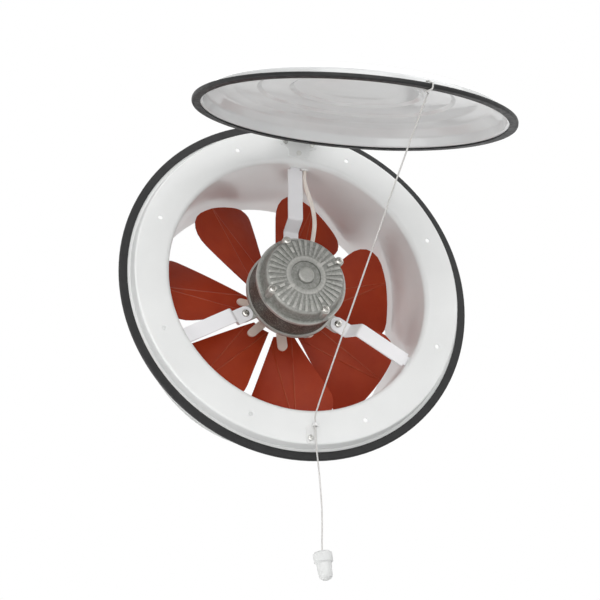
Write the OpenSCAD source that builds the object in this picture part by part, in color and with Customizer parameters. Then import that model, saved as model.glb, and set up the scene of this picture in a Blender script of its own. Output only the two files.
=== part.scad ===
// Window exhaust fan with a hinged, cord-closed lid.
// The fan's axis is Y: the room is at -Y, outdoors at +Y, and Z is up.
// The origin is on the axis, in the plane of the flange's face, where the wall bolts pass.

/* [Duct and flange] */
// Inside radius of the duct
duct_r = 131; // [120:0.5:134]
// Thickness of the duct and flange sheet
sheet_t = 1; // [0.8:0.1:1.5]
// Distance from the flange's face to the duct's outlet
duct_l = 115; // [107:1:165]
// Radius of the rolled mouth where the flange face turns into the duct
mouth_r = 5; // [3:0.5:7]
// How far the flange face stands in front of the wall plane
face_out = 15; // [12:0.5:22]
// Width of the flange from the inside of the duct to the edge of its flat face
face_w = 34.5; // [32:0.5:40]
// Width of the bare stepped-back rim between the flat face and the edging
rim_w = 4.5; // [3.5:0.5:15]
// Width of the outward lip round the duct's outlet
outlet_lip = 3; // [2:0.5:5]

/* [Wall bolts] */
// Number of wall bolts
bolt_count = 8; // [4:1:12]
// Distance from the inside of the duct to the bolt circle
bolt_out = 19; // [15:0.5:25]
// Radius of each bolt hole
bolt_hole_r = 2.25; // [1.7:0.05:2.75]
// Turn of the bolt circle and the cord guide from the hinge line
bolt_turn = -2.7; // [-8:0.1:8]

/* [Rubber edging] */
// Width of the edging along the fan's axis
edging_w = 4.2; // [3.6:0.1:6]
// How far the edging reaches in over the sheet
edging_grip = 5.5; // [4:0.5:7]
// How far the edging reaches out past the sheet
edging_lap = 2.5; // [1.5:0.1:4]

/* [Lid] */
// How far the lid sheet reaches past the inside of the duct
lid_over = 17; // [13:0.5:21]
// Thickness of the lid sheet
lid_t = 1; // [0.8:0.1:1.5]
// Depth of the lid's dome
lid_depth = 24; // [22:0.5:32]
// Height of the closed lid's centre above the fan's axis
lid_rise = 7; // [5:0.5:9]
// Angle of the open lid from the closed one
lid_open = 72.5; // [45:0.5:85]

/* [Hinge] */
// How far the hinge pin stands in front of the flange face
pin_out = 21; // [18:0.5:26]
// Radius of the hinge pin
pin_r = 2; // [1.5:0.1:2.5]
// Length of the hinge pin
pin_l = 42; // [38:1:50]
// Thickness of the hinge leaves
leaf_t = 1.2; // [1:0.1:1.5]
// Width of the fixed leaf
leaf_w = 38; // [34:1:44]
// Width of the lid's leaf
lid_leaf_w = 24; // [20:1:28]
// Radius of the hinge rivets
rivet_r = 1.5; // [1:0.1:2]
// Radius of the wire of the hinge spring
spring_wire_r = 0.8; // [0.5:0.1:0.9]

/* [Struts] */
// Width of the motor struts
strut_w = 15; // [12:0.5:18]
// Thickness of the motor struts
strut_t = 2; // [1.5:0.1:2.5]
// Distance from the stator's edge to the screws that hold the motor to the struts
ear_out = 10.5; // [9.5:0.5:15]
// Width of the tongue with which a strut passes through the duct wall
tongue_w = 10; // [8:0.5:11]

/* [Motor] */
// Radius of the stator
stator_r = 44.5; // [43.5:0.5:46]
// Length of the stator
stator_l = 26; // [22:1:32]
// Distance from the flange's face to the stator's front end
stator_y = 0; // [-2:0.5:4]
// Depth of each end shield from its rim to its ribbed face
shield_depth = 18.5; // [17.5:0.5:22]
// Distance from the stator's edge in to the circle of through bolts
through_in = 5.5; // [5:0.1:6]
// Radius of the shaft
shaft_r = 4; // [3:0.5:5]
// Width of the stator's ring of laminations, with the gap to the rotor
core_w = 20; // [19:0.5:24]
// Number of ribs on each end shield
rib_count = 36; // [24:1:40]

/* [Impeller] */
// Gap between the blade tips and the duct
tip_gap = 5.5; // [3:0.5:8]
// Distance from the flange's face to the middle of the blades
fan_y = 73.8; // [72:0.1:78]
// Thickness of the blades
blade_t = 1.2; // [0.8:0.1:1.6]
// Pitch of the blades at their middle radius
blade_pitch = 23.6; // [16:0.1:30]
// Width of a blade in front of its centre line, at its middle radius
blade_front_w = 31.9; // [26:0.1:34]
// Width of a blade behind its centre line, at its middle radius
blade_rear_w = 28.8; // [24:0.1:32]
// Fold of a blade's two sides along the creases pressed into it
blade_fold = 5; // [2:0.5:10]
// Radius of the corner at the front of a blade's tip
front_corner_r = 29; // [8:0.5:34]
// Radius of the corner at the rear of a blade's tip
rear_corner_r = 14; // [8:0.5:28]
// Width of the hub's arms
arm_w = 9; // [7:0.5:11]
// How far the arms reach from the fan's axis
arm_r = 43.5; // [40:0.5:50]
// Turn of the impeller at rest
fan_turn = 19.1; // [0:0.1:51]

/* [Pull cord] */
// Diameter of the pull cord
cord_d = 1.5; // [1.4:0.1:2]
// Radius of the collar of the pull knob
knob_r = 9; // [7:0.5:11]
// Length of the pull knob
knob_l = 27; // [24:1:32]

/* [Power lead] */
// Diameter of the power lead
lead_d = 4.5; // [4:0.25:5]
// Angle of the lead's hole in the duct wall, clockwise from the top
lead_turn = 4.6; // [4.5:0.1:6]

/* [Hidden] */
$fn = 64;

// Clearances
seat = 0.05;        // between pieces that are pressed or screwed together
running = 0.03;     // between the shaft and its bearings, and the pin and its knuckles
play = 0.3;         // between pieces that pass or move past each other
weld_gap = 0.1;     // between the hub's arms and the blades spot-welded to them
slot_front = 1.6;   // in front of a strut's tongue, which is hooked in through its slot
eps = 0.01;

// Places worked out from the sizes above
face_y = 0;
wall_y = face_out;
face_r = duct_r + face_w;
flange_r = face_r + rim_w + edging_grip;
bolt_circle_r = duct_r + bolt_out;
bore_front_y = face_y + mouth_r;
rim_y = wall_y - edging_w / 2;
edging_r = flange_r + edging_lap;
duct_outer_r = duct_r + sheet_t;

lid_edge_r = duct_r + lid_over;
lid_r = lid_edge_r + edging_lap;
rivet_head = 0.8;
lid_y = face_y - leaf_t - rivet_head - play - edging_w / 2;
pin_y = face_y - pin_out;
pin_z = lid_rise + lid_r + 4.5;
knuckle_r = pin_r + running + leaf_t;
leaf_foot_z = duct_r + mouth_r + 1.6;

strut_y = wall_y - 1.5 - strut_t / 2;
strut_angles = [0, 120, 240];
ear_r = stator_r + ear_out;
through_r = stator_r - through_in;
rotor_r = stator_r - core_w;
front_rim_y = stator_y;
rear_rim_y = front_rim_y + stator_l;
rim_t = 3.4;
ear_t = 4.6;
ear_sink = 0.6;       // how far the ears are let into the rear shield's rim
tab_y = rear_rim_y + rim_t - ear_sink - strut_t;
front_face_y = front_rim_y - shield_depth;
rear_face_y = rear_rim_y + shield_depth;
bearing_r = 11;
bearing_w = 7;
hub_depth = 11.5;
through_hole_r = 2.15;
through_shank_r = 2;
through_turn = -29.4;
through_angles = [for (i = [0:3]) through_turn + 90 * i];

blade_count = 7;
tip_r = duct_r - tip_gap;
blade_mid_r = 0.64 * tip_r;
root_r = 28;
disc_r = 22;
disc_t = 2.4;
arm_t = 2;
collar_r = 9;
collar_flange_r = 17;
collar_flange_t = 2;
collar_l = 12;
disc_y = fan_y - blade_t / 2 - weld_gap - disc_t / 2;
motor_lead_turn = 18.8;
motor_lead_y = 12;
terminal_at = [33, face_y + sheet_t + seat, duct_r + 12];
terminal_size = [20, 11, 12];

grommet_neck_r = lead_d / 2 + 0.7;
grommet_lip_r = lead_d / 2 + 1.5;
lead_y = wall_y - 2.8;

// The power lead from the motor, through the duct wall, to the terminal block
function on_ray(turn, r, y) = [r * sin(turn), y, r * cos(turn)];
lead_route = [on_ray(motor_lead_turn, stator_r - 1, motor_lead_y), on_ray(motor_lead_turn, stator_r + 5.5, motor_lead_y),
    [17.6, 11.8, 54], [18.8, 11.6, 62], [19.6, 11.4, 73], [18.4, 11.4, 86], [15.2, 11.7, 98], [11.8, 12, 109],
    on_ray(lead_turn, duct_r - 10, lead_y), on_ray(lead_turn, duct_r, lead_y), on_ray(lead_turn, duct_r + 6, lead_y),
    terminal_at + [-20, 9, -2.6], terminal_at + [-16, 7.4, -0.6], terminal_at + [-9.5, 6.6, 0]];

// The pull cord from the knot on the lid to the guide, and on down to the knob
run_route = [[17.9, -296.8, 52.6], [16.1, -261, 28.6], [14.6, -224, 3.4], [13.5, -188, -21.2], [12.4, -151, -46.4],
    [11.3, -115, -71], [10.2, -78, -96.2], [9.2, -42, -120.8], [9, -17, -137.2], [9.7, -10.2, -141.4],
    [10.9, -6.6, -144.2], [11.4, -5.3, -146.6], [11.5, -5, -149.2]];
tail_route = [[11.5, -5, -149.4], [11.5, -5, -154], [11.8, -5, -162], [12.4, -5, -172], [13.4, -5, -184],
    [14.6, -5, -198], [15.6, -5, -212], [16.3, -5, -226], [16.5, -5, -240], [16.3, -5, -252],
    [16, -5, -263], [16, -5, -270], [16.7, -5, -275]];
knob_top = [16, -5, -271];
knob_tilt = -8;
guide_x = 9;
eye_x = 11.5;
eye_y = -5;
eye_top_z = lid_rise - lid_r - 2.6;
eye_h = 3;
eye_r = 3.1;
eye_hole_r = 1.7;
guide_w = 11;
guide_t = 1;
guide_l = 18.5;
loop_turn = 187;

// ---------- Functions ----------

function unit(v) = v / norm(v);
function left_of(v) = [-v[1], v[0]];

// The corner at b, on the way from a to c, as an arc of radius r
function corner(a, b, c, r, n) =
    let (u = unit(a - b), v = unit(c - b), half = acos(u * v) / 2,
        centre = b + unit(u + v) * r / sin(half),
        p = b + u * r / tan(half) - centre, q = b + v * r / tan(half) - centre,
        a0 = atan2(p[1], p[0]), turn = (atan2(q[1], q[0]) - a0 + 540) % 360 - 180)
    [for (i = [0:n]) centre + r * [cos(a0 + turn * i / n), sin(a0 + turn * i / n)]];

// A path from rows of [x, y, corner radius]
function bent(rows, n = 6) =
    let (p = [for (row = rows) [row[0], row[1]]], last = len(p) - 1)
    concat([p[0]],
        [for (i = [1:last - 1]) each (rows[i][2] > 0
            ? corner(p[i - 1], p[i], p[i + 1], rows[i][2], n) : [p[i]])],
        [p[last]]);

// The path moved t to its left, with mitred corners
function beside(path, t) =
    let (last = len(path) - 1)
    [for (i = [0:last])
        let (d0 = i > 0 ? unit(path[i] - path[i - 1]) : unit(path[1] - path[0]),
            d1 = i < last ? unit(path[i + 1] - path[i]) : d0,
            n0 = left_of(d0), n1 = left_of(d1))
        path[i] + t * (n0 + n1) / (1 + n0 * n1)];

// The outline of a sheet t thick on the left of a path
function sheet(path, t) =
    let (other = beside(path, t))
    concat(path, [for (i = [len(path) - 1:-1:0]) other[i]]);

// Rings of points round a route, and the faces of the tube that they make
function tube_rings(route, r, sides) =
    let (last = len(route) - 1,
        dirs = [for (i = [0:last]) unit(route[min(i + 1, last)] - route[max(i - 1, 0)])],
        start = unit(cross(dirs[0], abs(dirs[0][0]) > 0.9 ? [0, 1, 0] : [1, 0, 0])))
    [for (i = 0, side = start; i <= last;
        i = i + 1, side = i <= last ? unit(side - dirs[i] * (side * dirs[i])) : side)
        let (up = cross(dirs[i], side))
        [for (k = [0:sides - 1]) route[i] + r * (side * cos(360 * k / sides) + up * sin(360 * k / sides))]];
function grid_faces(rows, cols) =
    [for (i = [0:rows - 2], k = [0:cols - 1], half = [0, 1])
        let (a = i * cols + k, b = i * cols + (k + 1) % cols)
        half == 0 ? [a, b + cols, b] : [a, a + cols, b + cols]];

// Width of a blade in front of its centre line and behind it, at a radius
function blade_front(r) = blade_front_w + 0.395 * (r - blade_mid_r);
function blade_rear(r) = blade_rear_w + 0.415 * (r - blade_mid_r);
// The two creases spread from where they would meet, just past the tip, towards the root
function front_crease(r) = max(-3.2 - 0.068 * (tip_r + 3 - r), -0.85 * blade_front(r));
function rear_crease(r) = min(-3.2 + 0.143 * (tip_r + 3 - r), 0.85 * blade_rear(r));
// A point on the blade's middle surface, t along the arc from its centre line and lift behind it:
// the pitch grows towards the tip, and the sides are folded back along the creases
function blade_point(t, r, lift) =
    let (a = t / r * 180 / PI, slope = tan(blade_pitch) + 0.0026 * (r - blade_mid_r),
        folded = max(t - rear_crease(r), 0) + max(front_crease(r) - t, 0))
    [r * sin(a), fan_y + t * slope + tan(blade_fold) * folded + lift, r * cos(a)];
// Lines of points along the blade: side_lines from each edge to its crease, and one between the creases
side_lines = 8;
last_line = 2 * side_lines + 2;
function line_t(k, r) =
    let (front = front_crease(r), rear = rear_crease(r))
    k <= side_lines ? front - (blade_front(r) + front) * sin(90 * (side_lines - k) / side_lines)
    : k == side_lines + 1 ? (front + rear) / 2
    : rear + (blade_rear(r) - rear) * sin(90 * (k - side_lines - 2) / side_lines);
// Where line k ends: the tip, with a round corner on each side
function drop(d, r) = d < r ? r - sqrt(r * r - (r - d) * (r - d)) : 0;
function line_end(k) =
    tip_r - (k <= side_lines ? drop(line_t(k, tip_r) + blade_front(tip_r), front_corner_r)
        : drop(blade_rear(tip_r) - line_t(k, tip_r), rear_corner_r));

// ---------- Shared shapes ----------

// Children built round +Z stand round the fan's axis
module round_axis() { rotate([-90, 0, 0]) children(); }
// Children built at twelve o'clock move clockwise, as seen from the room
module at_angle(a) { rotate([0, a, 0]) children(); }
// A disc or hole along the fan's axis, at twelve o'clock
module peg(r, radius, y0, y1, sides = 0) {
    translate([0, y0, radius]) round_axis()
        cylinder(r = r, h = y1 - y0, $fn = sides > 0 ? sides : 40);
}
// A piece turned round the fan's axis from rows of [radius, y]
module turned(points) { round_axis() rotate_extrude($fn = 128) polygon(points); }
// A strip bent along a path of [z, y], centred on x = 0
module strip(path, t, w) {
    rotate([0, -90, 0]) linear_extrude(height = w, center = true) polygon(sheet(path, t));
}
module tube(route, r, sides = 8) {
    rings = tube_rings(route, r, sides);
    count = len(rings);
    polyhedron(
        points = [for (ring = rings) each ring],
        faces = concat([[for (k = [0:sides - 1]) k]], grid_faces(count, sides),
            [[for (k = [0:sides - 1]) count * sides - 1 - k]]),
        convexity = 10);
}
// A box between two corners
module block(low, high) { translate(low) cube(high - low); }
// A pan head with a cross recess, towards -y from the seat at y, at twelve o'clock
module pan_head(r, radius, y, h) {
    translate([0, y, radius]) rotate([90, 0, 0]) difference() {
        rotate_extrude($fn = 40)
            polygon([[0, 0], [r, 0], [r, h * 0.5], [r * 0.88, h * 0.8], [r * 0.55, h], [0, h]]);
        for (turn = [20, 110]) rotate([0, 0, turn]) translate([-r * 0.52, -0.45, h * 0.4]) cube([r * 1.04, 0.9, h]);
    }
}
// The rubber edging on a sheet's edge
module edging(edge_r, mid_y, t) {
    out = edge_r + edging_lap;
    in = edge_r - edging_grip;
    half = edging_w / 2;
    slot = t / 2 + seat;
    ease = 1.2;
    turned([[in, mid_y - half], [out - ease, mid_y - half], [out - ease * 0.3, mid_y - half + ease * 0.3],
        [out, mid_y - half + ease], [out, mid_y + half - ease],
        [out - ease * 0.3, mid_y + half - ease * 0.3], [out - ease, mid_y + half], [in, mid_y + half],
        [in, mid_y + slot], [edge_r + seat, mid_y + slot], [edge_r + seat, mid_y - slot],
        [in, mid_y - slot]]);
}
// Children drawn with the lid closed, swung to the open lid
module opened() {
    translate([0, pin_y, pin_z]) rotate([-lid_open, 0, 0]) translate([0, -pin_y, -pin_z]) children();
}

// ---------- Housing ----------

module housing() {
    rim_front = rim_y - sheet_t / 2;
    path = bent([[flange_r, rim_front, 0], [face_r + 1, rim_front, 1.2], [face_r, face_y, 2],
        [duct_r, face_y, mouth_r], [duct_r, duct_l - eps, 2.4],
        [duct_r + outlet_lip, duct_l, 0]]);
    color("whitesmoke") difference() {
        turned(sheet(path, -sheet_t));
        for (i = [0:bolt_count - 1])
            at_angle(bolt_turn + (i + 0.5) * 360 / bolt_count)
                peg(bolt_hole_r, bolt_circle_r, face_y - 1, face_y + sheet_t + 1);
        for (a = strut_angles) at_angle(a)
            block([-tongue_w / 2 - play, strut_y - strut_t / 2 - slot_front, duct_r - 4],
                [tongue_w / 2 + play, strut_y + strut_t / 2 + play, duct_outer_r + 4]);
        at_angle(lead_turn) translate([0, lead_y, duct_r - 4])
            cylinder(r = grommet_neck_r + seat, h = sheet_t + 8);
        hinge_rivet_places() peg(rivet_r + seat, 0, face_y - 1, face_y + sheet_t + 1);
        guide_screw_place() peg(screw_r + seat, 0, face_y - 1, face_y + sheet_t + 1);
    }
}
module flange_edging() { color("#222222") edging(flange_r, rim_y, sheet_t); }

// ---------- Lid ----------

function lid_rows() =
    let (y0 = lid_y - lid_t / 2, d = lid_depth / 24, wall_r = lid_edge_r - 7,
        step_1 = lid_edge_r - 58, step_2 = lid_edge_r - 88)
    [[lid_edge_r, y0, 0], [wall_r, y0, 1.5], [wall_r - 3, y0 - 8.5 * d, 5],
        [wall_r - 14, y0 - 15 * d, 12], [wall_r - 28, y0 - 18 * d, 20],
        [step_1 + 2, y0 - 18.6 * d, 1.5], [step_1 - 2, y0 - 20.8 * d, 1.5],
        [step_2 + 2, y0 - 21.2 * d, 1.5], [step_2 - 2, y0 - 23.4 * d, 1.5],
        [step_2 - 20, y0 - lid_depth, 20], [0, y0 - lid_depth, 0]];
module lid_shell() {
    color("whitesmoke") opened() difference() {
        translate([0, 0, lid_rise]) turned(sheet(bent(lid_rows(), 4), -lid_t));
        loop_place() translate([0, loop_hole_y, lid_edge_r - 16]) cylinder(r = cord_d / 2 + play, h = 12);
    }
}
module lid_edging() { color("#222222") opened() translate([0, 0, lid_rise]) edging(lid_edge_r, lid_y, lid_t); }

// ---------- Hinge ----------

module hinge_rivet_places() {
    for (place = [[0, 4], [-14, 15], [14, 15]]) translate([place[0], 0, leaf_foot_z + place[1]]) children();
}
module knuckle(x0, x1, leaf_z) {
    translate([x0, pin_y, pin_z]) rotate([0, 90, 0]) cylinder(r = knuckle_r, h = x1 - x0);
}
module knuckle_bore() {
    translate([-pin_l, pin_y, pin_z]) rotate([0, 90, 0]) cylinder(r = pin_r + running, h = 2 * pin_l);
}
fixed_knuckles = [[-18, -12.2], [12.2, 18]];
lid_knuckles = [[-11.9, -6.2], [6.2, 11.9]];
web_z = pin_z - knuckle_r + leaf_t;
module fixed_hinge_leaf() {
    path = bent([[leaf_foot_z, face_y, 0], [web_z, face_y, 1.4], [web_z, pin_y, 0]]);
    color("lightgray") difference() {
        union() {
            intersection() {
                strip(path, -leaf_t, leaf_w);
                rotate([90, 0, 0]) linear_extrude(height = 100, center = true) polygon([
                    [-leaf_w / 2, pin_z + 9], [-leaf_w / 2, leaf_foot_z + 12], [-11, leaf_foot_z + 8.5],
                    [-11, leaf_foot_z + 1.5], [-9.5, leaf_foot_z], [9.5, leaf_foot_z], [11, leaf_foot_z + 1.5],
                    [11, leaf_foot_z + 8.5], [leaf_w / 2, leaf_foot_z + 12], [leaf_w / 2, pin_z + 9]]);
            }
            for (k = fixed_knuckles) knuckle(k[0], k[1]);
        }
        knuckle_bore();
        block([-12.1, pin_y - 10, pin_z - 12], [12.1, pin_y + knuckle_r + 1.4, pin_z + 10]);
        hinge_rivet_places() peg(rivet_r + seat, 0, face_y - 10, face_y + 10);
    }
}
module lid_hinge_leaf() {
    y0 = lid_y - lid_t / 2 - seat;
    wall_r = lid_edge_r - 7;
    d = lid_depth / 24;
    z1 = lid_rise + wall_r - 14;
    z2 = lid_rise + wall_r - 28;
    path = bent([[pin_z, pin_y - knuckle_r + leaf_t, 0], [pin_z - 8, pin_y - knuckle_r + leaf_t, 6],
        [z1, y0 - 15.2 * d, 6], [z2 + 1, y0 - 18 * d, 0]]);
    color("lightgray") opened() difference() {
        union() {
            strip(path, leaf_t, lid_leaf_w);
            for (k = lid_knuckles) knuckle(k[0], k[1]);
        }
        knuckle_bore();
        block([-6.1, pin_y - 10, pin_z - 6], [6.1, pin_y + 10, pin_z + 10]);
        for (side = [-1, 1])
            block([side * 17 - 5, pin_y - 10, pin_z - 6], [side * 17 + 5, pin_y + 10, pin_z + 10]);
    }
}
module hinge_pin() {
    color("silver") translate([-pin_l / 2, pin_y, pin_z]) rotate([0, 90, 0]) union() {
        cylinder(r = pin_r, h = pin_l);
        translate([0, 0, -1]) cylinder(r = pin_r + 1.2, h = 1);
        translate([0, 0, pin_l]) cylinder(r = pin_r + 0.8, h = 0.8);
    }
}
spring_turns = 5;
spring_gap = 0.45;    // between the turns
spring_r = pin_r + spring_wire_r + play;
// Distance from a point to the line between two others, and the least gap between a coil's turns
function to_line(p, a, b) =
    let (u = min(max((p - a) * (b - a) / ((b - a) * (b - a)), 0), 1)) norm(p - a - u * (b - a));
function least_gap(coil, per_turn, wire_r) =
    min([for (i = [0:len(coil) - 1], j = [i + floor(per_turn / 2):len(coil) - 2])
        to_line(coil[i], coil[j], coil[j + 1])]) - 2 * wire_r;
module hinge_spring() {
    pitch = spring_wire_r * 2 + spring_gap;
    steps = 12;
    half = spring_turns * pitch / 2;
    last = spring_turns * steps;
    coil = [for (i = [0:last]) let (a = 200 - 360 * i / steps)
        [-half + 2 * half * i / last, pin_y + spring_r * cos(a), pin_z + spring_r * sin(a)]];
    leg = 11;
    echo(hinge_spring_least_gap = least_gap(coil, steps, spring_wire_r));
    first_a = 200 + 90;
    last_a = 200 - 90;
    route = concat([coil[0] + leg * [0, cos(first_a), sin(first_a)]], coil,
        [coil[last] + leg * [0, cos(last_a), sin(last_a)]]);
    color("silver") tube(route, spring_wire_r, 6);
}
module hinge_rivets() {
    color("silver") hinge_rivet_places() {
        peg(rivet_r, 0, face_y - leaf_t - rivet_head, face_y + sheet_t + rivet_head);
        peg(rivet_r + 1.1, 0, face_y - leaf_t - rivet_head, face_y - leaf_t - seat);
        peg(rivet_r + 1.1, 0, face_y + sheet_t + seat, face_y + sheet_t + rivet_head);
    }
}

// ---------- Struts ----------

module strut(angle) {
    outer_z = duct_outer_r + play + strut_t / 2;
    path = bent([[ear_r - strut_w / 2 - 1, tab_y + strut_t / 2, 0], [ear_r + 12, tab_y + strut_t / 2, 3],
        [ear_r + 20, strut_y, 3], [outer_z, strut_y, 1.3], [outer_z, bore_front_y + play, 0]]);
    color("white") at_angle(angle) difference() {
        intersection() {
            strip(beside(path, -strut_t / 2), strut_t, strut_w);
            rotate([90, 0, 0]) linear_extrude(height = 100, center = true) union() {
                translate([-strut_w / 2, ear_r]) square([strut_w, duct_r - 2.2 - ear_r]);
                translate([0, ear_r]) circle(r = strut_w / 2);
                translate([-tongue_w / 2, ear_r]) square([tongue_w, outer_z + 2 * strut_t - ear_r]);
            }
        }
        peg(screw_r + 0.2, ear_r, tab_y - strut_t, tab_y + 2 * strut_t);
    }
}
module strut_top() { strut(strut_angles[0]); }
module strut_right() { strut(strut_angles[1]); }
module strut_left() { strut(strut_angles[2]); }
screw_r = 1.9;
module strut_screws() {
    color("silver") for (a = strut_angles) at_angle(a) {
        pan_head(3.7, ear_r, tab_y - seat, 2.4);
        peg(screw_r, ear_r, tab_y - 0.6, tab_y + strut_t + ear_t + 1);
    }
}

// ---------- Motor ----------

// A ribbed end shield, drawn with its rim on y = 0 and its face towards -y
module shield(rim_r, cap) {
    face = -shield_depth;
    floor_y = face + 3.2;
    wall_r = stator_r - 2.5;
    hub_r = bearing_r + 4;
    difference() {
        union() {
            turned(concat(
                cap ? [[0, face - 2.4], [6, face - 2.4], [7.8, face - 1.2], [8.6, face + 1.6]]
                    : [[shaft_r + 2, face - 3], [12.5, face - 3], [13.5, face - 2], [13.5, face + 1.6]],
                cap ? [[14.6, face + 1.6], [15.2, face]] : [[18.3, face + 1.6], [18.9, face]],
                [for (i = [0:5]) [wall_r - 8 + 6 * sin(15 * i + 15), face + 6 - 6 * cos(15 * i + 15)]],
                [[wall_r, -rim_t], [rim_r, -rim_t], [rim_r, 0], [wall_r - 1, 0],
                    [wall_r - 3, face + 9], [wall_r - 7, floor_y], [hub_r, floor_y],
                    [hub_r, face + hub_depth], [bearing_r, face + hub_depth],
                    [bearing_r, face + hub_depth - bearing_w - 0.5],
                    [shaft_r + 2, face + hub_depth - bearing_w - 0.5]],
                cap ? [[shaft_r + 2, face + 0.6], [0, face + 0.6]] : []));
            for (a = through_angles) at_angle(a) {
                peg(4.6, through_r, face, 0);
                peg(3.1, 28.5, face - 0.8, face + 2.5);
            }
        }
        for (i = [0:rib_count - 1])
            at_angle((i + 0.5) * 360 / rib_count) rib_gap(face);
        for (a = through_angles) at_angle(a) peg(through_hole_r, through_r, face - 5, 5);
    }
}
module rib_gap(face) {
    inner_r = 20.5;
    outer_r = stator_r - 6.5;
    rib_w = 2.7;
    inner_w = max(PI * inner_r / rib_count - rib_w / 2, 0.35);
    outer_w = PI * outer_r / rib_count - rib_w / 2;
    inner_depth = 0.5;
    outer_depth = 1.6;
    translate([0, face + inner_depth, inner_r])
        rotate([-atan((outer_depth - inner_depth) / (outer_r - inner_r)), 0, 0])
            rotate([90, 0, 0]) linear_extrude(height = 6)
                polygon([[-inner_w, 0], [inner_w, 0], [outer_w, outer_r - inner_r], [-outer_w, outer_r - inner_r]]);
}
module front_shield() {
    color("#b9bab4") translate([0, front_rim_y, 0]) shield(stator_r + 1, true);
}
module rear_shield() {
    ear_y = rim_t - ear_sink;
    color("#b9bab4") translate([0, rear_rim_y, 0]) difference() {
        union() {
            mirror([0, 1, 0]) shield(stator_r + 2, false);
            for (a = strut_angles) at_angle(a) {
                block([-7, ear_y, stator_r - 3], [7, ear_y + ear_t, ear_r]);
                peg(7, ear_r, ear_y, ear_y + ear_t);
            }
        }
        for (a = strut_angles) at_angle(a) peg(screw_r + seat, ear_r, 0, ear_y + ear_t + 1);
    }
}
module stator_core() {
    slot_r = rotor_r + 7;
    color("#4a4540") difference() {
        peg(stator_r, 0, front_rim_y + seat, rear_rim_y - seat, 96);
        peg(rotor_r + 0.5, 0, front_rim_y - 1, rear_rim_y + 1, 96);
        for (i = [0:11]) at_angle(30 * i) {
            peg(2.6, slot_r, front_rim_y - 1, rear_rim_y + 1);
            block([-0.8, front_rim_y - 1, rotor_r - 2], [0.8, rear_rim_y + 1, slot_r]);
        }
        for (a = through_angles) at_angle(a) peg(through_hole_r, through_r, front_rim_y - 1, rear_rim_y + 1);
        at_angle(motor_lead_turn) translate([0, motor_lead_y, stator_r - 6])
            cylinder(r = grommet_neck_r + seat, h = 10);
    }
}
module stator_windings() {
    inner = rotor_r + 3;
    outer = rotor_r + 9;
    reach = 8;
    color("#b8733a") for (end = [[front_rim_y, -1], [rear_rim_y, 1]])
        turned([[inner, end[0]], [outer, end[0]], [outer, end[0] + end[1] * (reach - 2)],
            [outer - 2, end[0] + end[1] * reach], [inner + 2, end[0] + end[1] * reach],
            [inner, end[0] + end[1] * (reach - 2)]]);
}
module through_bolts() {
    color("silver") for (a = through_angles) at_angle(a) {
        pan_head(3.6, through_r, front_face_y - seat, 2.2);
        peg(through_shank_r, through_r, front_face_y - 0.6, rear_face_y + 4);
    }
}
module through_nuts() {
    color("silver") for (a = through_angles) at_angle(a) difference() {
        peg(4, through_r, rear_face_y + seat, rear_face_y + 3.2, 6);
        peg(through_shank_r + seat, through_r, rear_face_y - 2, rear_face_y + 5);
    }
}
module bearing(y0) {
    color("dimgray") difference() {
        peg(bearing_r - running, 0, y0, y0 + bearing_w, 64);
        peg(shaft_r + running, 0, y0 - 1, y0 + bearing_w + 1, 64);
    }
}
module front_bearing() { bearing(front_face_y + hub_depth - bearing_w - 0.4); }
module rear_bearing() { bearing(rear_face_y - hub_depth + 0.4); }

// ---------- Rotor and impeller ----------

shaft_end_y = disc_y + disc_t / 2 + collar_flange_t + collar_l + 2;
module rotor_core() {
    color("slategray") difference() {
        peg(rotor_r, 0, front_rim_y + 1, rear_rim_y - 1, 96);
        peg(shaft_r + seat / 2, 0, front_rim_y - 1, rear_rim_y + 1, 64);
    }
}
module motor_shaft() {
    color("silver") peg(shaft_r, 0, front_face_y + 1.6, shaft_end_y, 64);
}
// A twisted strip on the blades' surface: lift is its middle, t its thickness
module arm(r0, r1, w, lift, t) {
    rows = 11;
    end = w / 2;
    sections = concat([for (i = [0:rows - 1]) [r0 + (r1 - end - r0) * i / (rows - 1), end]],
        [for (a = [22.5, 45, 67.5, 84]) [r1 - end + end * sin(a), end * cos(a)]]);
    polyhedron(
        points = [for (s = sections) each [
            blade_point(-s[1], s[0], lift - t / 2), blade_point(s[1], s[0], lift - t / 2),
            blade_point(s[1], s[0], lift + t / 2), blade_point(-s[1], s[0], lift + t / 2)]],
        faces = concat([[0, 1, 2, 3]], grid_faces(len(sections), 4),
            [[for (k = [0:3]) len(sections) * 4 - 1 - k]]),
        convexity = 4);
}
module hub_spider() {
    lift = -blade_t / 2 - weld_gap - arm_t / 2;
    color("#c9b3aa") difference() {
        union() {
            peg(disc_r, 0, disc_y - disc_t / 2, disc_y + disc_t / 2, 96);
            for (i = [0:blade_count - 1]) at_angle(fan_turn + i * 360 / blade_count)
                arm(disc_r - 2, arm_r, arm_w, lift, arm_t);
        }
        peg(shaft_r + 0.2, 0, disc_y - 5, disc_y + 5, 64);
        hub_rivet_places() peg(1.5 + seat, 0, disc_y - 5, disc_y + 5);
    }
}
module hub_rivet_places() { for (a = [45:90:315]) at_angle(a) translate([0, 0, 13]) children(); }
module hub_collar() {
    y0 = disc_y + disc_t / 2 + seat;
    color("gray") difference() {
        union() {
            peg(collar_flange_r, 0, y0, y0 + collar_flange_t, 64);
            peg(collar_r, 0, y0, y0 + collar_flange_t + collar_l, 64);
        }
        peg(shaft_r + seat / 2, 0, y0 - 1, y0 + 30, 64);
        hub_rivet_places() peg(1.5 + seat, 0, y0 - 1, y0 + collar_flange_t + 1);
        translate([0, y0 + collar_flange_t + collar_l / 2, 0]) cylinder(r = 2 + seat, h = 20);
    }
}
module hub_set_screw() {
    color("dimgray")
        translate([0, disc_y + disc_t / 2 + seat + collar_flange_t + collar_l / 2, shaft_r + 0.1])
            cylinder(r = 2, h = collar_r - shaft_r - 0.6);
}
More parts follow.
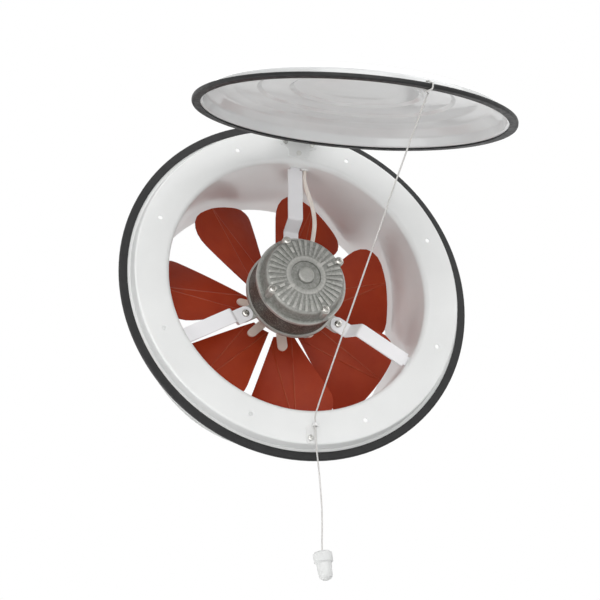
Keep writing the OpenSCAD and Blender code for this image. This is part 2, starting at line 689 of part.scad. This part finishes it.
module hub_rivets() {
    y0 = disc_y - disc_t / 2;
    y1 = disc_y + disc_t / 2 + seat + collar_flange_t;
    color("silver") hub_rivet_places() {
        peg(1.5, 0, y0 - 1, y1 + 1);
        peg(2.8, 0, y0 - 1, y0 - seat);
        peg(2.8, 0, y1 + seat, y1 + 1);
    }
}
module blade(number) {
    along = 9;
    // Rows run from the root to the tip; each row goes across the front face and back behind it
    sections = [for (j = [0:along])
        [for (side = [-1, 1], i = [0:last_line])
            let (k = side < 0 ? i : last_line - i, r = root_r + (line_end(k) - root_r) * j / along)
            blade_point(line_t(k, r), r, side * blade_t / 2)]];
    cols = 2 * (last_line + 1);
    ends = [for (k = [0:last_line - 1], half = [0, 1])
        half == 0 ? [k, k + 1, cols - 2 - k] : [k, cols - 2 - k, cols - 1 - k]];
    tip = along * cols;
    color("#7c2418") at_angle(fan_turn + (number - 1) * 360 / blade_count)
        polyhedron(
            points = [for (row = sections) each row],
            faces = concat(ends, grid_faces(along + 1, cols),
                [for (f = ends) [f[2] + tip, f[1] + tip, f[0] + tip]]),
            convexity = 4);
}

// ---------- Power lead ----------

module power_lead() { color("ivory") tube(lead_route, lead_d / 2, 8); }
// A rubber grommet round a radial hole in a wall from z0 to z1, at twelve o'clock
module grommet(z0, z1) {
    bore = lead_d / 2 + seat;
    rotate_extrude() polygon([[bore, z0 - 1.6], [grommet_neck_r + 0.3, z0 - 1.6], [grommet_lip_r, z0 - 0.2],
        [grommet_neck_r, z0 - 0.2], [grommet_neck_r, z1 + 0.2], [grommet_lip_r, z1 + 0.2],
        [grommet_neck_r + 0.3, z1 + 1.6], [bore, z1 + 1.6]]);
}
module duct_grommet() {
    color("#333333") at_angle(lead_turn) translate([0, lead_y, 0]) grommet(duct_r, duct_outer_r);
}
module motor_grommet() {
    color("#333333") at_angle(motor_lead_turn) translate([0, motor_lead_y, 0]) rotate_extrude()
        polygon([[lead_d / 2 + seat, stator_r - 4], [grommet_neck_r, stator_r - 4],
            [grommet_neck_r, stator_r + 0.2], [grommet_lip_r, stator_r + 0.2],
            [grommet_neck_r, stator_r + 2.6], [lead_d / 2 + seat, stator_r + 3]]);
}
module terminal_block() {
    color("ivory") translate([terminal_at[0] - terminal_size[0] / 2, terminal_at[1],
        terminal_at[2] - terminal_size[2] / 2]) difference() {
        cube(terminal_size);
        for (x = [6, 14]) translate([x, terminal_size[1] - 5, terminal_size[2] / 2]) round_axis()
            cylinder(r = 1.9, h = 6);
        translate([-1, terminal_size[1] - lead_d - 2.2, terminal_size[2] / 2 - lead_d / 2 - 0.2])
            cube([3.2, lead_d + 0.4, lead_d + 0.4]);
    }
}
module terminal_screws() {
    color("goldenrod") for (x = [-4, 4])
        translate([terminal_at[0] + x, terminal_at[1] + terminal_size[1] - 5 + seat, terminal_at[2]])
            round_axis() cylinder(r = 1.7, h = 2.5);
}

// ---------- Pull cord ----------

module guide_screw_place() { translate([guide_x - 1, 0, eye_top_z - 13.4]) children(); }
module cord_guide() {
    top = eye_top_z - 0.4;
    corner_cut = 2.5;
    left = guide_x - guide_w / 2;
    right = guide_x + guide_w / 2;
    color("gainsboro") difference() {
        union() {
            rotate([90, 0, 0]) translate([0, 0, -face_y]) linear_extrude(height = guide_t)
                polygon([[left + corner_cut, top], [right, top], [right, top - guide_l + corner_cut],
                    [right - corner_cut, top - guide_l], [left + corner_cut, top - guide_l],
                    [left, top - guide_l + corner_cut], [left, top - corner_cut]]);
            translate([eye_x, eye_y, eye_top_z - eye_h]) cylinder(r = eye_r, h = eye_h);
            block([eye_x - 1.4, eye_y + eye_hole_r + 0.5, eye_top_z - eye_h],
                [eye_x + 1.4, face_y - guide_t / 2, eye_top_z]);
        }
        translate([eye_x, eye_y, eye_top_z - eye_h - 1]) cylinder(r = eye_hole_r, h = eye_h + 2);
        guide_screw_place() peg(screw_r + 0.2, 0, face_y - 5, face_y + 5);
    }
}
module guide_screw() {
    color("silver") guide_screw_place() {
        peg(screw_r, 0, face_y - guide_t - 0.6, face_y + sheet_t + 3);
        pan_head(3, 0, face_y - guide_t - seat, 1.8);
    }
}
// The lid's cord goes through its wall, round the edging and back to a knot
loop_hole_y = lid_y - lid_t / 2 - 5;
knot_z = lid_edge_r - 8.5;
knot_y = lid_y + 2.4;
module loop_place() { translate([0, 0, lid_rise]) at_angle(loop_turn - 14) children(); }
module cord_loop() {
    gap = cord_d / 2 + 0.1;
    out = lid_edge_r + edging_lap + gap;
    front = lid_y - edging_w / 2 - gap;
    back = lid_y + edging_w / 2 + gap;
    path = bent([[knot_z + 1.9, back, 0], [out, back, 1.9], [out, front, 1.9], [lid_edge_r - 1, front, 3],
        [lid_edge_r - 4.5, loop_hole_y, 2], [lid_edge_r - 13, loop_hole_y, 2], [lid_edge_r - 13, knot_y - 1, 2],
        [knot_z - 1.9, knot_y - 0.2, 0]], 4);
    color("ivory") opened() loop_place() tube([for (p = path) [0, p[1], p[0]]], cord_d / 2, 8);
}
module cord_knot() {
    color("ivory") opened() loop_place() difference() {
        translate([0, knot_y, knot_z]) sphere(r = 1.75, $fn = 32);
    }
}
module cord_run() { color("ivory") tube(run_route, cord_d / 2, 8); }
module cord_tail() { color("ivory") tube(tail_route, cord_d / 2, 8); }
module pull_knob() {
    l = knob_l;
    r = knob_r;
    color("white") translate(knob_top) rotate([0, knob_tilt, 0]) translate([0, 0, -l]) difference() {
        rotate_extrude() polygon(concat([[0, 0]],
            [for (i = [1:6]) [r * 0.72 * sin(15 * i), 5 * (1 - cos(15 * i))]],
            [[r * 0.8, l * 0.59], [r, l * 0.65], [r, l - 1.5], [r - 1.5, l], [0, l]]));
        translate([0, 0, l - 6]) cylinder(r = cord_d / 2 + play, h = 8);
    }
}

housing();
flange_edging();
lid_shell();
lid_edging();
fixed_hinge_leaf();
lid_hinge_leaf();
hinge_pin();
hinge_spring();
hinge_rivets();
strut_top();
strut_right();
strut_left();
strut_screws();
front_shield();
rear_shield();
stator_core();
stator_windings();
through_bolts();
through_nuts();
front_bearing();
rear_bearing();
rotor_core();
motor_shaft();
hub_spider();
hub_collar();
hub_set_screw();
hub_rivets();
blade(1);  // blade_1
blade(2);  // blade_2
blade(3);  // blade_3
blade(4);  // blade_4
blade(5);  // blade_5
blade(6);  // blade_6
blade(7);  // blade_7
power_lead();
duct_grommet();
motor_grommet();
terminal_block();
terminal_screws();
cord_guide();
guide_screw();
cord_loop();
cord_knot();
cord_run();
cord_tail();
pull_knob();
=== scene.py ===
# Window exhaust fan with a hinged, cord-closed lid: finishes, cords, camera and light.
import math
import bmesh
import bpy
from mathutils import Matrix, Vector


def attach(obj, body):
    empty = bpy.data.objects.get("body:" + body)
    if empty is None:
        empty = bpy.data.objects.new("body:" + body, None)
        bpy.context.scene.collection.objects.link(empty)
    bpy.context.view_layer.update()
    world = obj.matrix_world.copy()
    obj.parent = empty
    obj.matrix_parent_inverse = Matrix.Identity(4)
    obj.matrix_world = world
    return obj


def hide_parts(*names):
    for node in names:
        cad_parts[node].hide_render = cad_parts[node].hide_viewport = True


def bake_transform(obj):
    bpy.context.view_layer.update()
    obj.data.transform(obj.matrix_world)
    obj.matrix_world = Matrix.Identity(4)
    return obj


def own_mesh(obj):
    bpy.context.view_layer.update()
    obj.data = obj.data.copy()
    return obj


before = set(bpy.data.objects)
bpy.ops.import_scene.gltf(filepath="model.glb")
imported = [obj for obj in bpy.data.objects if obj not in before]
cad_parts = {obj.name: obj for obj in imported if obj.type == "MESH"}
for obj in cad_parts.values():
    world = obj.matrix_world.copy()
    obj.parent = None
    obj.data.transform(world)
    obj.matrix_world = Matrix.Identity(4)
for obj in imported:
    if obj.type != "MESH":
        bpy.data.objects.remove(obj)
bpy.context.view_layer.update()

# ---------- The photograph's camera, solved from the flange, the bolt holes and the lid ----------
PHOTO_WIDTH = 600.0           # pixels
FOCAL_LENGTH = 1922.1         # pixels
SENSOR_WIDTH = 36.0           # mm
EYE = Vector((-0.5425, -1.6216, -0.7633))
VIEW = Vector((0.2906, 0.8695, 0.3993))
UP = Vector((-0.1141, -0.3829, 0.9167))

# ---------- Sizes that the finishes and cords use, in metres ----------
BLADES = [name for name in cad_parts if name.startswith("blade_")]
BLADE_TURN = math.radians(19.1)     # how far the impeller stands turned at rest
CREASE_MEET = 0.1285          # radius at which the two creases of a blade would meet
CREASE_SIDE = -0.0032         # how far that is from the blade's centre line
CREASE_SLOPES = (-0.068, 0.143)
CREASE_WIDTH = 0.0009         # to each side of a crease
LAMINATION_PITCH = 0.0011
WIRE_PITCH = 0.0008
CORD_D = 0.0015

# The cords' routes, as the model has them, in mm: from the lid to the guide, from there to the knob,
# and from the motor to the terminal block.
RUN = [(17.9, -296.8, 52.6), (16.1, -261, 28.6), (14.6, -224, 3.4), (13.5, -188, -21.2),
       (12.4, -151, -46.4), (11.3, -115, -71), (10.2, -78, -96.2), (9.2, -42, -120.8), (9, -17, -137.2),
       (9.7, -10.2, -141.4), (10.9, -6.6, -144.2), (11.4, -5.3, -146.6), (11.5, -5, -149.2)]
TAIL = [(11.5, -5, -149.4), (11.5, -5, -154), (11.8, -5, -162), (12.4, -5, -172), (13.4, -5, -184),
        (14.6, -5, -198), (15.6, -5, -212), (16.3, -5, -226), (16.5, -5, -240), (16.3, -5, -252),
        (16, -5, -263), (16, -5, -270), (16.7, -5, -275)]
LEAD = [(14, 12, 41.2), (16.1, 12, 47.3), (17.6, 11.8, 54), (18.8, 11.6, 62), (19.6, 11.4, 73),
        (18.4, 11.4, 86), (15.2, 11.7, 98), (11.8, 12, 109), (9.7, 12.2, 120.6), (10.5, 12.2, 130.6),
        (11, 12.2, 136.6), (13, 10.05, 140.4), (17, 8.45, 142.4), (23.5, 7.65, 143)]

# ---------- Light ----------
WHITE = (1.0, 1.0, 1.0, 1.0)
AMBIENT = 0.33                # strength of the studio's own light on the object
FLOOR_Z = -1.1                # below the camera
FLOOR_HALF = 3.0              # half the floor's width

# Each lamp's name, place, aim, width and watts
LAMPS = [
    ("key", (-0.7, -2.5, 0.85), (0, 0, 0), 2.2, 23.0),
    ("high", (-0.5, -2.0, 1.9), (0, 0, 0), 1.8, 8.5),
    ("right", (1.6, -1.6, 1.9), (0, 0, 0), 1.8, 21.0),
    ("front", (-0.3, -2.6, -0.6), (0, 0, 0), 2.0, 14.5),
    ("low", (-1.1, -0.5, -0.8), (0, -0.1, 0.1), 0.9, 4.5),
    ("top", (0.3, 0.9, 1.9), (0, 0.05, 0), 1.8, 10.0),
    ("rim", (-1.3, 0.8, -0.9), (0, 0.05, 0), 1.0, 10.0),
]


# ---------- Nodes ----------
class Nodes:
    """A node tree and short ways to add to it. A value is a number, a colour or a node's output."""

    def __init__(self, tree):
        self.tree = tree

    def feed(self, socket, value):
        if isinstance(value, bpy.types.NodeSocket):
            self.tree.links.new(value, socket)
        else:
            socket.default_value = value

    def add(self, kind, settings=None, **inputs):
        """A new node, with its inputs by name, and with _ in place of spaces."""
        node = self.tree.nodes.new(kind)
        for key, value in (settings or {}).items():
            setattr(node, key, value)
        for key, value in inputs.items():
            self.feed(node.inputs[key.replace("_", " ")], value)
        return node

    def feed_in_order(self, node, values):
        for socket, value in zip(node.inputs, values):
            self.feed(socket, value)
        return node.outputs[0]

    def math(self, op, *values):
        return self.feed_in_order(self.add("ShaderNodeMath", {"operation": op}), values)

    def mix_shaders(self, factor, a, b):
        return self.feed_in_order(self.add("ShaderNodeMixShader"), (factor, a, b))

    def mix(self, factor, a, b):
        node = self.add("ShaderNodeMix", {"data_type": "RGBA"})
        colours = [socket for socket in node.inputs if socket.type == "RGBA"]
        for socket, value in zip([node.inputs[0]] + colours, (factor, a, b)):
            self.feed(socket, value)
        return next(socket for socket in node.outputs if socket.type == "RGBA")

    def spread(self, value, low, high, to_low=0.0, to_high=1.0):
        """The value, with low to high stretched over to_low to to_high."""
        node = self.add("ShaderNodeMapRange", Value=value, From_Min=low, From_Max=high,
                        To_Min=to_low, To_Max=to_high)
        return node.outputs["Result"]

    def place(self):
        """The place on the piece itself, which moves with it."""
        return self.add("ShaderNodeTexCoord").outputs["Object"]

    def axes(self):
        """The place on the piece as its x, y and z."""
        split = self.add("ShaderNodeSeparateXYZ", Vector=self.place())
        return [split.outputs[name] for name in "XYZ"]

    def distance(self, a, b):
        """How far the point a, b is from nought."""
        squares = self.math("ADD", self.math("MULTIPLY", a, a), self.math("MULTIPLY", b, b))
        return self.math("SQRT", squares)

    def stripes(self, value, pitch):
        return self.math("SINE", self.math("MULTIPLY", value, 2 * math.pi / pitch))


class Shader(Nodes):
    """A material with its principled shader."""

    def __init__(self, name):
        self.mat = bpy.data.materials.new(name)
        self.mat.use_nodes = True
        super().__init__(self.mat.node_tree)
        self.bsdf = self.tree.nodes["Principled BSDF"]
        self.out = self.tree.nodes["Material Output"]

    def set(self, **inputs):
        for key, value in inputs.items():
            self.feed(self.bsdf.inputs[key.replace("_", " ")], value)

    def noise(self, scale, detail=3.0, rough=0.5):
        node = self.add("ShaderNodeTexNoise", Vector=self.place(), Scale=scale, Detail=detail,
                        Roughness=rough)
        return node.outputs["Fac"]

    def blotches(self, scale, colour, dull, low=0.3, high=0.7):
        """Two near tones in soft clouds."""
        return self.mix(self.spread(self.noise(scale, 4.0), low, high), colour, dull)

    def uneven(self, scale, low, high):
        """A value that wanders between low and high."""
        return self.spread(self.noise(scale), 0.3, 0.7, low, high)

    def bump(self, height, strength, distance, under=None):
        node = self.add("ShaderNodeBump", Height=height, Strength=strength, Distance=distance)
        if under is not None:
            self.feed(node.inputs["Normal"], under)
        self.feed(self.bsdf.inputs["Normal"], node.outputs["Normal"])
        return node.outputs["Normal"]


def rgb(*channels):
    """An sRGB colour, 0 to 255, as linear light."""
    def linear(v):
        return v / 12.92 if v <= 0.04045 else ((v + 0.055) / 1.055) ** 2.4
    return tuple(linear(v / 255.0) for v in channels) + (1.0,)


# ---------- Finishes ----------
def enamel(name, colour, dull, rough, coat=0.2, haze=0.16):
    """Stoved enamel: faint orange peel and a slightly uneven gloss."""
    s = Shader(name)
    s.set(Base_Color=s.blotches(14.0, colour, dull, 0.35, 0.7),
          Roughness=s.uneven(60.0, rough * 0.95, rough * 1.08),
          Coat_Weight=coat, Coat_Roughness=haze, Specular_IOR_Level=0.45)
    s.bump(s.noise(420.0, 2.0), 0.04, 0.0002)
    return s.mat


def rubber(name):
    """Satin black rubber with a fine grain."""
    s = Shader(name)
    s.set(Base_Color=s.blotches(90.0, rgb(12, 12, 13), rgb(25, 25, 26), 0.3, 0.75),
          Roughness=s.uneven(220.0, 0.4, 0.57), Specular_IOR_Level=0.36)
    s.bump(s.noise(900.0), 0.15, 0.0002)
    return s.mat


def plated(name, colour, rough):
    """Bare or plated metal with slightly darker patches and a fine grain."""
    s = Shader(name)
    grain = s.noise(700.0)
    s.set(Base_Color=s.blotches(120.0, rgb(*colour), rgb(*[c * 0.8 for c in colour])),
          Metallic=1.0, Roughness=s.spread(grain, 0.3, 0.7, rough * 0.8, rough * 1.3))
    s.bump(grain, 0.1, 0.0001)
    return s.mat


def cast_alloy(name):
    """As-cast aluminium with a fine sandy skin and clouds of two tones, painted lighter along convex
    edges: a painted highlight where the rib ends catch the light.
    """
    s = Shader(name)
    skin = s.noise(1100.0, 5.0, 0.7)
    cloud = s.noise(380.0, 5.0, 0.65)
    tone = s.mix(s.spread(cloud, 0.34, 0.68), rgb(160, 161, 156), rgb(130, 130, 125))
    # Painted highlight: convex edges, found by pointiness, get a lighter colour.
    edge = s.add("ShaderNodeNewGeometry").outputs["Pointiness"]
    s.set(Base_Color=s.mix(s.spread(edge, 0.505, 0.57), tone, rgb(192, 191, 186)),
          Metallic=0.55, Roughness=s.spread(skin, 0.3, 0.7, 0.36, 0.52))
    s.bump(skin, 0.3, 0.00025)
    return s.mat


def laminations(name):
    """Varnished steel sheets in a stack: fine rings along the motor's axis, with specks where the varnish
    is rubbed thin.
    """
    s = Shader(name)
    layers = s.stripes(s.axes()[1], LAMINATION_PITCH)
    blotch = s.noise(160.0, 4.0)
    dark = s.mix(s.spread(blotch, 0.3, 0.7), rgb(74, 68, 62), rgb(50, 46, 43))
    speck = s.mix(s.spread(s.noise(620.0), 0.5, 0.72), dark, rgb(150, 144, 136))
    s.set(Base_Color=s.mix(s.spread(layers, -1.0, 1.0, 0.0, 0.5), speck, rgb(128, 120, 112)),
          Metallic=0.5, Roughness=s.spread(blotch, 0.3, 0.7, 0.4, 0.55))
    s.bump(layers, 0.35, 0.0002)
    return s.mat


def copper_wire(name):
    """Enamelled wire wound round the motor's axis in turns that wander a little."""
    s = Shader(name)
    x, _, z = s.axes()
    wander = s.math("MULTIPLY", s.noise(60.0), 0.002)
    strands = s.stripes(s.math("ADD", s.distance(x, z), wander), WIRE_PITCH)
    s.set(Base_Color=s.mix(s.spread(strands, -1.0, 1.0), rgb(120, 52, 24), rgb(190, 104, 56)),
          Metallic=0.7, Roughness=0.32)
    s.bump(strands, 0.5, 0.0003)
    return s.mat


def plastic(name, colour, dull, rough):
    """Moulded plastic with a faint peel."""
    s = Shader(name)
    s.set(Base_Color=s.blotches(110.0, colour, dull),
          Roughness=s.uneven(300.0, rough * 0.85, rough * 1.2))
    s.bump(s.noise(800.0), 0.08, 0.0002)
    return s.mat


def milky_plastic(name, colour, dull):
    """Moulded plastic that lets a little light in."""
    s = Shader(name)
    s.set(Base_Color=s.blotches(90.0, colour, dull), Roughness=s.uneven(300.0, 0.36, 0.46),
          Subsurface_Weight=0.35, Subsurface_Radius=(0.004, 0.004, 0.004))
    s.bump(s.noise(500.0, 2.0), 0.04, 0.0002)
    return s.mat


def braid(name, colour, dull):
    """A fine braided cord."""
    s = Shader(name)
    strands = s.add("ShaderNodeTexVoronoi", Vector=s.place(), Scale=1400.0).outputs["Distance"]
    s.set(Base_Color=s.mix(s.spread(strands, 0.1, 0.7), colour, dull),
          Roughness=0.6, Transmission_Weight=0.3, Sheen_Weight=0.2)
    s.bump(strands, 0.5, 0.0003)
    return s.mat


def crease_lines(s):
    """1 along the two creases pressed into each blade, and 0 away from them."""
    x, _, z = s.axes()
    radius = s.distance(x, z)
    pitch = 2 * math.pi / len(BLADES)
    turn = s.math("ADD", s.math("ARCTAN2", x, z), 2 * math.pi + pitch / 2 - BLADE_TURN)
    across = s.math("MULTIPLY", s.math("SUBTRACT", s.math("MODULO", turn, pitch), pitch / 2), radius)
    inward = s.math("SUBTRACT", CREASE_MEET, radius)
    gaps = []
    for slope in CREASE_SLOPES:
        line = s.math("ADD", s.math("MULTIPLY", inward, slope), CREASE_SIDE)
        gaps.append(s.math("ABSOLUTE", s.math("SUBTRACT", across, line)))
    return s.spread(s.math("MINIMUM", *gaps), 0.0, CREASE_WIDTH, 1.0, 0.0)


def blade_enamel(name):
    """Red-brown satin enamel, dusty in places, with a painted highlight: a lighter colour along the
    blades' creases, where the folds catch the light.
    """
    s = Shader(name)
    crease = crease_lines(s)
    # Painted highlight: a thin lighter line along each crease, of uneven strength, in place of the light
    # the folds catch.
    crease_highlight = s.math("MULTIPLY", crease, s.spread(s.noise(45.0), 0.38, 0.6, 0.03, 0.24))
    cloud = s.noise(28.0, 5.0, 0.6)
    tone = s.mix(s.spread(cloud, 0.3, 0.72), rgb(158, 50, 21), rgb(172, 61, 28))
    dust = s.spread(s.noise(640.0, 4.0), 0.62, 0.8, 0.0, 0.2)
    # The last colour here is the painted crease highlight.
    s.set(Base_Color=s.mix(crease_highlight, s.mix(dust, tone, rgb(170, 96, 72)), rgb(214, 140, 110)),
          Roughness=s.uneven(90.0, 0.4, 0.52), Specular_IOR_Level=0.22)
    ridge = s.bump(crease, 0.8, 0.0005)
    s.bump(s.noise(320.0), 0.08, 0.0004, ridge)
    return s.mat


# ---------- Mesh helpers ----------
def link(obj):
    bpy.context.scene.collection.objects.link(obj)
    return obj


def mesh_object(name, bm, material):
    mesh = bpy.data.meshes.new(name)
    bm.to_mesh(mesh)
    bm.free()
    mesh.materials.append(material)
    return link(bpy.data.objects.new(name, mesh))


def route(points_mm, steps):
    """A smooth curve in metres through the given points, with so many steps from each to the next."""
    pts = [Vector(p) * 0.001 for p in points_mm]
    ends = [pts[0]] + pts + [pts[-1]]
    path = []
    for p0, p1, p2, p3 in zip(ends, ends[1:], ends[2:], ends[3:]):
        for k in range(steps):
            t = k / steps
            path.append(0.5 * (2 * p1 + (p2 - p0) * t + (2 * p0 - 5 * p1 + 4 * p2 - p3) * t * t
                               + (3 * p1 - p0 - 3 * p2 + p3) * t ** 3))
    path.append(pts[-1])
    return path


def swept(name, path, section, material):
    """A tube along a path. section(t) is its outline, as (across, up) points, from t = 0 to 1."""
    bm = bmesh.new()
    last = len(path) - 1
    ahead = (path[1] - path[0]).normalized()
    upright = abs(ahead.z) >= 0.9
    side = ahead.cross(Vector((0, 1, 0)) if upright else Vector((0, 0, 1))).normalized()
    rings = []
    for i, centre in enumerate(path):
        ahead = (path[min(i + 1, last)] - path[max(i - 1, 0)]).normalized()
        side = (side - ahead * side.dot(ahead)).normalized()
        up = side.cross(ahead)
        rings.append([bm.verts.new(centre + side * a + up * b) for a, b in section(i / last)])
    for near, far in zip(rings, rings[1:]):
        for k in range(len(near)):
            j = (k + 1) % len(near)
            bm.faces.new((near[k], near[j], far[j], far[k]))
    bm.faces.new(list(reversed(rings[0])))
    bm.faces.new(rings[-1])
    bmesh.ops.recalc_face_normals(bm, faces=bm.faces[:])
    for face in bm.faces:
        face.smooth = True
    return mesh_object(name, bm, material)


# ---------- Camera ----------
def add_camera():
    data = bpy.data.cameras.new("photo_camera")
    data.sensor_width = SENSOR_WIDTH
    data.lens = SENSOR_WIDTH * FOCAL_LENGTH / PHOTO_WIDTH
    data.clip_start = 0.05
    data.clip_end = 50.0
    camera = link(bpy.data.objects.new("photo_camera", data))
    back = -VIEW.normalized()
    up = (UP - back * UP.dot(back)).normalized()
    turn = Matrix((up.cross(back), up, back)).transposed()
    camera.matrix_world = Matrix.Translation(EYE) @ turn.to_4x4()
    bpy.context.scene.camera = camera


# ---------- Cords ----------
def round_section(t):
    """The pull cord's outline, which is the same at every t."""
    sides = 16
    angles = [2 * math.pi * k / sides for k in range(sides)]
    return [(CORD_D / 2 * math.cos(a), CORD_D / 2 * math.sin(a)) for a in angles]


def twin_section(t):
    """The outline of a flat twin lead, which turns edge-on to the camera before its grommet."""
    sides = 28
    half_width, half_height = 0.00222, 0.00142
    groove_depth, groove_width = 0.3, 0.0005      # the depth is a share of the height
    turn_start, turn_share = 0.42, 0.16           # shares of the lead's length
    full_turn = math.radians(65)
    turn = full_turn * max(0.0, min(1.0, (t - turn_start) / turn_share))
    points = []
    for k in range(sides):
        a = 2 * math.pi * k / sides
        across = half_width * math.cos(a)
        up = half_height * math.sin(a) * (1 - groove_depth * math.exp(-(across / groove_width) ** 2))
        points.append((across * math.cos(turn) - up * math.sin(turn),
                       across * math.sin(turn) + up * math.cos(turn)))
    return points


def add_cord_run(material):
    """The pull cord from the lid to the guide."""
    path = route(RUN, 4)
    run = swept("pull_cord_run", path, round_section, material)
    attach(run, "frame")
    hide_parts("cord_run")
    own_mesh(run)


def add_cord_tail(material):
    """The pull cord from the guide to its knob."""
    path = route(TAIL, 4)
    tail = swept("pull_cord_tail", path, round_section, material)
    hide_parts("cord_tail")
    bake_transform(tail)


def add_motor_lead(material):
    """The flat twin lead from the motor's grommet to the terminal block."""
    path = route(LEAD, 5)
    lead = swept("motor_lead", path, twin_section, material)
    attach(lead, "frame")
    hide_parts("power_lead")


# ---------- The model's own nodes ----------
def dress(material, nodes):
    for node in nodes:
        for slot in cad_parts[node].material_slots:
            slot.material = material


def dress_model(cord_material):
    dress(enamel("housing_enamel", rgb(236, 237, 236), rgb(230, 231, 230), 0.3), ["housing"])
    dress(enamel("lid_enamel", rgb(228, 229, 229), rgb(221, 222, 222), 0.22, 0.65, 0.06), ["lid_shell"])
    dress(enamel("leaf_enamel", rgb(232, 233, 232), rgb(224, 225, 224), 0.28),
          ["fixed_hinge_leaf", "lid_hinge_leaf"])
    dress(enamel("strut_enamel", rgb(248, 247, 249), rgb(241, 240, 242), 0.3),
          ["strut_top", "strut_right", "strut_left"])
    dress(enamel("hub_enamel", rgb(250, 234, 222), rgb(242, 222, 208), 0.35), ["hub_spider"])
    dress(blade_enamel("blade_enamel"), BLADES)
    dress(rubber("edging_rubber"), ["flange_edging", "lid_edging", "motor_grommet"])
    dress(plated("plated_steel", (206, 204, 198), 0.26),
          ["hinge_pin", "strut_screws", "through_bolts", "through_nuts", "hub_collar", "hub_rivets"])
    dress(plated("dull_zinc", (226, 226, 222), 0.45), ["guide_screw", "hinge_rivets"])
    dress(plated("spring_wire", (120, 120, 122), 0.3), ["hinge_spring"])
    dress(plated("ground_steel", (150, 150, 152), 0.22),
          ["front_bearing", "rear_bearing", "motor_shaft", "hub_set_screw"])
    dress(plated("terminal_brass", (200, 170, 100), 0.3), ["terminal_screws"])
    dress(cast_alloy("shield_casting"), ["front_shield", "rear_shield"])
    dress(laminations("stator_laminations"), ["stator_core", "rotor_core"])
    dress(copper_wire("winding_copper"), ["stator_windings"])
    dress(plastic("terminal_moulding", rgb(232, 228, 216), rgb(220, 215, 202), 0.45), ["terminal_block"])
    dress(plastic("guide_moulding", rgb(235, 235, 234), rgb(226, 226, 225), 0.35),
          ["cord_guide", "duct_grommet"])
    dress(milky_plastic("knob_moulding", rgb(230, 231, 230), rgb(221, 222, 221)), ["pull_knob"])
    dress(cord_material, ["cord_loop", "cord_knot"])


# ---------- Floor and light ----------
def backdrop_material():
    """Pale matte paper that keeps a soft shadow under the object and fades to white around it."""
    s = Shader("backdrop_paper")
    s.set(Base_Color=rgb(236, 236, 236), Roughness=0.9)
    glow = s.add("ShaderNodeEmission", Color=WHITE, Strength=1.0)
    ray = s.add("ShaderNodeLightPath").outputs
    mirrored = s.math("MAXIMUM", ray["Is Glossy Ray"], ray["Is Transmission Ray"])
    x, y, _ = s.axes()
    whiter_from, white_from, least = 0.5, 1.3, 0.55
    fade = s.spread(s.distance(x, y), whiter_from, white_from, least, 1.0)
    seen = s.math("MAXIMUM", mirrored, s.math("MULTIPLY", ray["Is Camera Ray"], fade))
    s.feed(s.out.inputs["Surface"], s.mix_shaders(seen, s.bsdf.outputs["BSDF"], glow.outputs["Emission"]))
    return s.mat


def add_floor():
    bm = bmesh.new()
    corners = [(-1, -1), (1, -1), (1, 1), (-1, 1)]
    bm.faces.new([bm.verts.new((x * FLOOR_HALF, y * FLOOR_HALF, FLOOR_Z)) for x, y in corners])
    mesh_object("floor", bm, backdrop_material())


def add_world():
    """An even dim light on the object, while the camera, gloss and clear pieces see plain white."""
    world = bpy.data.worlds.new("studio")
    bpy.context.scene.world = world
    world.use_nodes = True
    n = Nodes(world.node_tree)
    ambient = n.tree.nodes["Background"]
    n.feed(ambient.inputs["Color"], WHITE)
    n.feed(ambient.inputs["Strength"], AMBIENT)
    white = n.add("ShaderNodeBackground", Color=WHITE, Strength=1.0)
    ray = n.add("ShaderNodeLightPath").outputs
    seen = n.math("MAXIMUM", ray["Is Camera Ray"], ray["Is Transmission Ray"])
    seen = n.math("MAXIMUM", seen, ray["Is Glossy Ray"])
    surface = n.tree.nodes["World Output"].inputs["Surface"]
    n.feed(surface, n.mix_shaders(seen, ambient.outputs["Background"], white.outputs["Background"]))


def add_lamp(name, place, aim, width, watts):
    data = bpy.data.lights.new(name, "AREA")
    data.shape = "RECTANGLE"
    data.size = width
    data.size_y = width
    data.energy = watts
    lamp = link(bpy.data.objects.new(name, data))
    lamp.location = place
    lamp.rotation_euler = (Vector(aim) - Vector(place)).to_track_quat("-Z", "Y").to_euler()


add_camera()
cord_braid = braid("cord_braid", rgb(246, 245, 243), rgb(218, 216, 213))
add_cord_run(cord_braid)
add_cord_tail(cord_braid)
add_motor_lead(plastic("lead_insulation", rgb(247, 238, 230), rgb(236, 226, 216), 0.4))
dress_model(cord_braid)
add_floor()
add_world()
for lamp in LAMPS:
    add_lamp(*lamp)
bpy.context.scene.view_settings.view_transform = "Standard"
